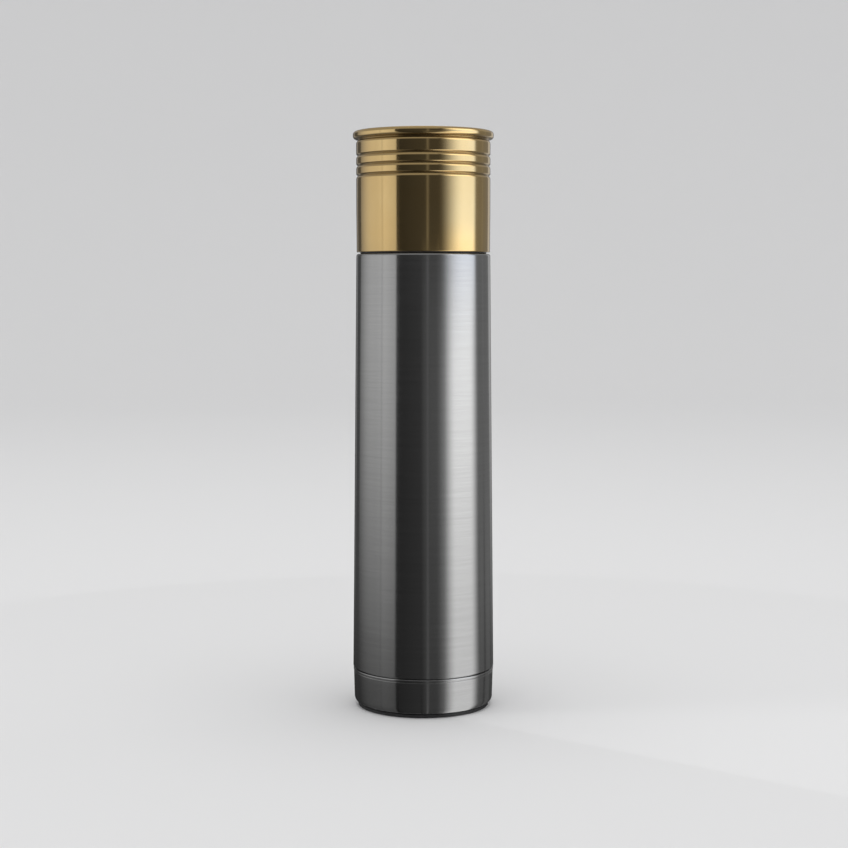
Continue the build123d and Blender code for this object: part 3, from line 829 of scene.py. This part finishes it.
def coil(low, high):
    """Grid of the wire: a circle swept along a helix, ground flat on both end planes.

    The helix is (R cos t, R sin t, low + (high - low) t / T). The circle lies in the plane of the
    radius and of the binormal (0, -sin p, cos p) turned to t, where p is the helix's slope.
    Heights are then cut off at low and high.
    """
    t = np.linspace(0, 2 * math.pi * SPRING_TURNS, int(SPRING_TURNS * TURN_STEPS))[:, None]
    loop = np.linspace(2 * math.pi, 0, WIRE_SIDES, endpoint=False)
    slope = math.atan((high - low) / (2 * math.pi * SPRING_TURNS * SPRING_RADIUS))
    out = SPRING_RADIUS + WIRE_RADIUS * np.cos(loop)
    back = WIRE_RADIUS * np.sin(loop) * math.sin(slope)
    x = out * np.cos(t) + back * np.sin(t)
    y = out * np.sin(t) - back * np.cos(t)
    z = low + (high - low) * t / t[-1] + WIRE_RADIUS * np.sin(loop) * math.cos(slope)
    grid = np.stack([x, y, np.clip(z, low, high)], axis=2)
    ends = [grid[row].mean(axis=0) + 0 * grid[:1] for row in (0, -1)]
    return np.concatenate([ends[0], grid, ends[1]])


well_floor = bottom("valve_spring")
spring = piece(
    "return_spring",
    [(coil(well_floor, top("valve_spring")), False)],
    spring_steel,
    "stopper",
    "spring_steel",
    "valve_spring",
)
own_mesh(spring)


# ---- brass cup ----
# The cup that screws over the neck, spun from brass, polished and lacquered: three V grooves
# rolled into its wall, a necking, a rolled rim, and a flat head with a round button pressed in.

CUP_WALL = 0.0016
CUP_DRAFT = 0.00015
CUP_DRAFT_HEIGHT = 0.0226
RIM_BULGE = 0.0017
RIM_HEIGHT = 0.0036
RIM_WIDTH = 0.0035
RIM_ROUND = 0.0016
NECKING_DEPTH = 0.0011
NECKING_RISE = 0.0009
NECKING_DROP = 0.00115
HEAD_RECESS = 0.0009
HEAD_WALL = 0.0022
GROOVE_FIRST = 0.01265  # below the rim's top
GROOVE_PITCH = 0.0052
GROOVE_HALF = 0.0009
GROOVE_DEPTH = 0.00085
GROOVE_LOWER_LIP = 0.0020
GROOVE_UPPER_LIP = 0.0004
PRIMER_RADIUS = 0.0110
PRIMER_GROOVE = 0.0008
PRIMER_DEPTH = 0.0005

cup_edge = bottom("cup_shell")
rim_top = top("cup_shell")
rim_radius = radius("cup_shell")
cup_radius = rim_radius - RIM_BULGE
cup_bore = cup_radius - CUP_WALL
rim_bottom = rim_top - RIM_HEIGHT
necking = rim_bottom - NECKING_RISE
cup_face = rim_top - HEAD_RECESS

brass = Finish("polished_brass", Metallic=1.0, Coat_Roughness=0.05)
tarnish = brass.noise(0.018, 0.024, detail=4.0, rough=0.55)
polish_lines = brass.noise(0.012, 0.0006, detail=2.0)
unshaded_brass = brass.mix(tarnish.ramp(0.35, 0.75), colour(0.89, 0.64, 0.29), colour(0.84, 0.58, 0.24))
# Painted shade: the grooves and the necking under the rim are darkened in the base colour, where
# shade falls, and are also made rougher.
in_groove = brass.reach().ramp(cup_radius - 0.0001, cup_radius - 0.0006)
below_rim = brass.height().ramp(rim_bottom, rim_bottom - 0.0002)
under_rim = brass.height().ramp(rim_bottom + 0.0002, rim_bottom - 0.0002)
under_rim = under_rim * brass.height().ramp(necking - NECKING_DROP, necking - NECKING_DROP + 0.0003)
painted_groove_shade = (in_groove * below_rim).math("MAXIMUM", in_groove * below_rim, under_rim)
# Turning marks run in circles round the head.
circles = {"W": brass.reach(), "Scale": 1500.0, "Detail": 3.0}
marks = brass.node("ShaderNodeTexNoise", {"noise_dimensions": "1D"}, circles)
marks = marks * brass.height().ramp(cup_face - 0.0003, cup_face - 0.0001)
# The base colour turns dark brown in the painted shade of the grooves and under the rim.
brass.feed("Base Color", brass.mix(painted_groove_shade * 0.8, unshaded_brass, colour(0.34, 0.25, 0.12)))
brass.feed("Roughness", 0.075 + 0.05 * tarnish + 0.03 * polish_lines + 0.12 * painted_groove_shade + 0.10 * marks)
brass.feed("Coat Weight", 0.4 + 0.4 * tarnish)
brass.relief(polish_lines + 6.0 * marks, 0.0000012)

cup_corners = [
    (0, cup_face - HEAD_WALL),
    (cup_bore, cup_face - HEAD_WALL, 0.0011),
    (cup_bore, cup_edge, 0.0002),
    (cup_radius - CUP_DRAFT, cup_edge, 0.0004),
    (cup_radius, cup_edge + CUP_DRAFT_HEIGHT, 0.02),
]
for groove in (2, 1, 0):
    middle = rim_top - GROOVE_FIRST - groove * GROOVE_PITCH
    cup_corners += [
        (cup_radius, middle - GROOVE_HALF, GROOVE_LOWER_LIP),
        (cup_radius - GROOVE_DEPTH, middle, 0.0002),
        (cup_radius, middle + GROOVE_HALF, GROOVE_UPPER_LIP),
    ]
cup_corners += [
    (cup_radius, necking - NECKING_DROP, 0.0020),
    (cup_radius - NECKING_DEPTH, necking, 0.00025),
    (rim_radius, rim_bottom, RIM_ROUND),
    (rim_radius, rim_top, RIM_ROUND),
    (rim_radius - RIM_WIDTH, rim_top, 0.00045),
    (rim_radius - RIM_WIDTH - HEAD_RECESS / 2, cup_face, 0.0003),
    (PRIMER_RADIUS + PRIMER_GROOVE, cup_face, 0.00015),
    (PRIMER_RADIUS + PRIMER_GROOVE, cup_face - PRIMER_DEPTH, 0.00015),
    (PRIMER_RADIUS, cup_face - PRIMER_DEPTH, 0.00015),
    (PRIMER_RADIUS, cup_face, 0.00025),
    (0, cup_face),
]
piece(
    "brass_cup",
    [(turned(rounded(cup_corners)), False)],
    brass,
    "cup",
    "polished_brass",
    "cup_shell",
)


# ---- inside the cup ----
# A drawn steel liner bonded into the brass cup is the drinking surface. A moulded ring in its
# mouth has the ridges that mesh with the neck, and closes on a silicone ring on the shoulder.

LINER_WALL = 0.0007
LINER_ROUND = 0.0020
RING_WALL = 0.0031
CUP_SEAL_INSET = 0.0003

liner_radius = radius("cup_liner")
ring_low = bottom("cup_thread_ring")
ring_high = top("cup_thread_ring")
ring_bore = liner_radius - RING_WALL
liner_outline = rounded(
    [
        (0, top("cup_liner") - LINER_WALL),
        (liner_radius - LINER_WALL, top("cup_liner") - LINER_WALL, LINER_ROUND - LINER_WALL),
        (liner_radius - LINER_WALL, bottom("cup_liner"), 0.0002),
        (liner_radius, bottom("cup_liner"), 0.0002),
        (liner_radius, top("cup_liner"), LINER_ROUND),
        (0, top("cup_liner")),
    ]
)
piece("liner", [(turned(liner_outline), False)], polished_steel, "cup", "plain_steel", "cup_liner")

ring_outline = rounded(
    [
        (ring_bore, ring_low, 0.0003),
        (liner_radius, ring_low, 0.0002),
        (liner_radius, ring_high),
        (ring_bore, ring_high, 0.0003),
    ]
)
ring_thread_start = outer_thread_start - RIDGE_OFFSET
piece(
    "cup_thread",
    [(turned(ring_outline), True)] + ridges(ring_bore, -1, ring_thread_start, MATE_TURN),
    black_plastic,
    "cup",
    "black_polypropylene",
    "cup_thread_ring",
)
# Painted shade: this silicone ring is coloured nearly black, so that in the narrow gap under the
# cup it looks shaded.
clear_silicone = Finish("clear_silicone", Roughness=0.35)
haze = clear_silicone.noise(0.005, detail=3.0)
clear_silicone.feed(
    "Base Color", clear_silicone.mix(haze, colour(0.045, 0.040, 0.036), colour(0.085, 0.080, 0.075))
)
clear_silicone.relief(clear_silicone.noise(0.0005), 0.000010)
piece(
    "shoulder_seal",
    [(turned(seal_outline("cup_seal_ring", ring_bore + CUP_SEAL_INSET, 0.0005)), True)],
    clear_silicone,
    "cup_ring",
    "clear_silicone",
    "cup_seal_ring",
)


# ---- studio ----
# A pale sweep of floor under even sky light and one soft lamp overhead. Round the flask stand
# cards that only polished surfaces mirror: softboxes, dark flags and a stand. None is part of it.

VIEW_DISTANCE = 0.9284
VIEW_HEIGHT = 0.2209
VIEW_SIDE = 0.00035
VIEW_PITCH = 4.41
LENS = 74.9
CARD_DISTANCE = 0.42
CARD_HEIGHT = 0.80
CARD_REACH = 0.0350  # how near the cards come to the flask's axis over the floor
CARD_HALFWAY = 0.24
CARD_LAYER = 0.01  # between cards that overlap
WINDOW_START = 26
WINDOW_END = 100.5
SWEEP_RADIUS = 2.4
SWEEP_RISE = 1.7
SKY = 0.80
OVERHEAD = 0.30  # level of what the flask mirrors from above the cards
LAMP_SIZE = 1.6
LAMP_POWER = 8.0
LAMP_HEIGHT = 1.9

eye = bpy.data.cameras.new("camera")
eye.lens = LENS
camera = bpy.data.objects.new("camera", eye)
camera.location = (VIEW_SIDE, -VIEW_DISTANCE, VIEW_HEIGHT)
camera.rotation_euler = (math.radians(90 - VIEW_PITCH), 0, 0)
bpy.context.scene.collection.objects.link(camera)
bpy.context.scene.camera = camera


def stand(name, grid, finish):
    """A stage object from one open grid of points."""
    rows, columns = grid.shape[:2]
    i, j = np.meshgrid(np.arange(rows - 1), np.arange(columns - 1), indexing="ij")
    here = (i * columns + j).ravel()
    quads = np.stack([here, here + 1, here + columns + 1, here + columns], axis=1)
    mesh = bpy.data.meshes.new(name)
    mesh.from_pydata(grid.reshape(-1, 3).tolist(), [], quads.tolist())
    mesh.shade_smooth()
    mesh.materials.append(finish.material)
    made = bpy.data.objects.new(name, mesh)
    bpy.context.scene.collection.objects.link(made)
    return made


def mirrored_card(name, grid, glow):
    """A card that polished surfaces mirror, and that neither lights nor shades anything else."""
    cloth = Finish(name + "_cloth", Roughness=1.0, Specular_IOR_Level=0.0, Emission_Strength=1.0)
    cloth.shader.inputs["Base Color"].default_value = colour(0, 0, 0)
    shine = cloth.node("ShaderNodeAttribute", {"attribute_name": "glow"}, {}, "Color")
    cloth.feed("Emission Color", shine)
    made = stand(name, grid, cloth)
    shade = made.data.color_attributes.new("glow", "FLOAT_COLOR", "POINT")
    shade.data.foreach_set("color", np.dstack([glow, np.ones(glow.shape[:2])]).ravel())
    made.visible_camera = made.visible_diffuse = made.visible_shadow = False


def side_to_side(start, end, level, fade=(0, 0), edge=(0, 0)):
    """Azimuths from start to end, and their glow.

    They are in degrees from the camera's side of the flask, and positive towards +X.
    Over the degrees given in fade the glow eases from the level of that edge to the card's own
    level, by t * t * (3 - 2 * t) for t from 0 to 1.
    """
    azimuth = np.linspace(start, end, int(end - start) + 2)
    rise = np.clip((azimuth - start) / max(fade[0], 0.1), 0, 1)
    fall = np.clip((end - azimuth) / max(fade[1], 0.1), 0, 1)
    share = rise * rise * (3 - 2 * rise) * fall * fall * (3 - 2 * fall)
    rim = edge[0] + (edge[1] - edge[0]) * (azimuth - start) / (end - start)
    return azimuth, (rim * (1 - share))[:, None] + share[:, None] * np.array(level)


def bent(azimuth, profile):
    """Grid of a profile of (r, z) points bent round the flask, at these azimuths at CARD_DISTANCE.

    Its columns follow the sight lines that the wall mirrors. A line that meets the wall, of radius
    w, at azimuth p leaves it at 2 p, so at distance r it is at 2 p - asin(w sin p / r). Points
    nearer than the wall keep to the sine's limit.
    """
    end = np.radians(azimuth)
    meet = end / 2
    # Each round makes the error of p about twenty times smaller.
    for _ in range(6):
        meet = (end + np.arcsin(body_base_radius / CARD_DISTANCE * np.sin(meet))) / 2
    r, z = np.array(profile)[:, :1], np.array(profile)[:, 1:]
    drift = np.arcsin(np.clip(body_base_radius / r * np.sin(meet), -1, 1))
    turn = 2 * meet - drift - math.pi / 2
    return np.stack([r * np.cos(turn), r * np.sin(turn), z + 0 * turn], axis=2)


def folded(dim, nearer, height, glow):
    """Profile and glow of a card, from next to the flask over the floor and up to this height.

    Over the floor its share of the full level runs straight from each value of dim to the next.
    From the fold on it rises to the full level.
    """
    reach, lift = CARD_DISTANCE - nearer, 0.001 + nearer / 20
    spots = np.concatenate([np.geomspace(CARD_REACH, CARD_HALFWAY, 9), [reach]])
    shares = np.interp(spots, [CARD_REACH, CARD_HALFWAY, reach], dim)
    profile = [(spot, lift) for spot in spots] + [(reach, 0.10), (reach, 0.19), (reach, height)]
    return profile, np.append(shares, [0.6 + 0.4 * dim[2], 1, 1])[:, None, None] * glow


def upright_card(name, azimuth, glow, dim=(0.14, 0.28, 0.43), crest=(0.345, 0.41), nearer=0.0):
    """Card that lies on the floor towards the flask and stands up at its far end.

    The values of dim are its share of the full level next to the flask, half-way out and at the
    fold. Between the two heights of its crest it changes to the level overhead.
    """
    profile, rows = folded(dim, nearer, crest[0], glow)
    profile += [(profile[-1][0], crest[1]), (profile[-1][0], CARD_HEIGHT)]
    rows = np.concatenate([rows, np.full((2, *glow.shape), OVERHEAD)])
    mirrored_card(name, bent(azimuth, profile), rows)


WHITE = np.ones(3)
COOL = np.array((0.86, 0.97, 1.20))
far_left = side_to_side(-130.5, -86, 0.62 * WHITE, (45, 0), (0.25, 0.62))
near_left = side_to_side(-86, -44.7, 0.72 * WHITE, (20, 30), (0.62, 0.58))
right = side_to_side(WINDOW_START, 103, 1.52 * WHITE, (28, 22), (0.06, 0.20))
window = side_to_side(WINDOW_START, WINDOW_END, 1.22 * COOL, (44, 10), (0.06, 0.15))
front = side_to_side(-76, 48, 0.052 * WHITE, (110, 0), (0.012, 0.052))
upright_card("left_softbox_far", *far_left)
upright_card("left_softbox_near", *near_left)
left_seam = side_to_side(-73.6, -69.6, 0.50 * WHITE, (1.6, 1.6), (0.70, 0.70))
upright_card("left_softbox_seam", *left_seam, nearer=CARD_LAYER)
upright_card("left_stand", *side_to_side(-41.8, -39.8, 0.09 * WHITE, (0.5, 0.5)), nearer=CARD_LAYER)
upright_card("left_flag", *side_to_side(-172, -130.5, 0.08 * WHITE), (0.5, 0.8, 0.9))
left_gleam = side_to_side(-158, -147, 0.30 * WHITE, (4, 4), (0.08, 0.08))
upright_card("left_gleam", *left_gleam, nearer=CARD_LAYER)
upright_card("front_flag", *front, (0.85, 0.85, 0.85), (0.34, 0.55), -CARD_LAYER)
lamp_stand = side_to_side(4.2, 9.8, 0.17 * WHITE, (2.4, 2.4), (0.05, 0.05))
upright_card("lamp_stand", *lamp_stand, (0.85, 0.85, 0.85), (0.34, 0.55), CARD_LAYER)
# A low haze round the stand ends below the cup.
haze_end = (17, 14), (0.05, 0.35)
low_haze = side_to_side(-4, 34, 0.125 * WHITE, *haze_end)
profile, rows = folded((0.50, 0.55, 0.62), 0.004, 0.222, low_haze[1])
profile.append((profile[-1][0], 0.247))
rows = np.concatenate([rows, side_to_side(-4, 34, 0.05 * WHITE, *haze_end)[1][None]])
mirrored_card("low_haze", bent(low_haze[0], profile), rows)
upright_card("right_softbox", *right, (0.62, 0.62, 0.66), (0.48, 0.62))
# The upper part of the right-hand softbox is a cool window over a white sill.
sill = side_to_side(WINDOW_START, WINDOW_END, 1.45 * WHITE, (44, 10), (0.06, 0.15))
band = bent(window[0], [(CARD_DISTANCE - CARD_LAYER, z) for z in (0.220, 0.244, 0.264, 0.345)])
mirrored_card("right_window", band, np.stack([sill[1], sill[1], window[1], window[1]]))
upright_card("right_flag", *side_to_side(102, 172, 0.19 * WHITE), (0.6, 0.8, 1), nearer=-CARD_LAYER)
right_stand = side_to_side(115.5, 119.5, 0.24 * WHITE, (1, 1), (0.16, 0.16))
upright_card("right_stand", *right_stand, nearer=CARD_LAYER)
right_gleam = side_to_side(140, 161, 0.48 * WHITE, (5, 5), (0.16, 0.16))
upright_card("right_gleam", *right_gleam, nearer=CARD_LAYER)

# A round lid shuts the ring of cards above.
rings = np.linspace(0, CARD_DISTANCE + CARD_LAYER, 5)[:, None]
turn = np.linspace(0, 2 * math.pi, 49)
lid = np.stack([rings * np.cos(turn), rings * np.sin(turn), CARD_HEIGHT + 0 * rings * turn], axis=2)
mirrored_card("ceiling_flag", lid, np.full((5, 49, 3), OVERHEAD))

lamp = bpy.data.lights.new("overhead_softbox", "AREA")
lamp.shape = "DISK"
lamp.size = LAMP_SIZE
lamp.energy = LAMP_POWER
overhead = bpy.data.objects.new("overhead_softbox", lamp)
overhead.location = (0.0, -0.1, LAMP_HEIGHT)
overhead.visible_camera = False
bpy.context.scene.collection.objects.link(overhead)

sweep_paint = Finish("pale_sweep", Roughness=0.9)
sweep_tone = sweep_paint.noise(0.5, detail=3.0)
sweep_paint.feed(
    "Base Color",
    sweep_paint.mix(sweep_tone, colour(0.795, 0.795, 0.80), colour(0.805, 0.805, 0.81)),
)
# The sweep's profile is a flat disc, then a quarter circle that turns it up into a wall.
bend = np.linspace(0, math.pi / 2, 17)[1:]
disc = np.linspace(0, SWEEP_RADIUS, 7)
sweep_r = np.concatenate([disc, SWEEP_RADIUS + SWEEP_RISE * np.sin(bend)])[:, None]
sweep_z = np.concatenate([0 * disc, SWEEP_RISE * (1 - np.cos(bend))])[:, None]
turn = np.linspace(0, 2 * math.pi, 97)
sweep = np.stack([sweep_r * np.cos(turn), sweep_r * np.sin(turn), sweep_z + 0 * turn], axis=2)
stand("sweep", sweep, sweep_paint)

world = bpy.data.worlds.new("sky")
world.use_nodes = True
world.node_tree.nodes["Background"].inputs["Color"].default_value = colour(SKY, SKY, SKY)
bpy.context.scene.world = world
bpy.context.scene.view_settings.view_transform = "Standard"
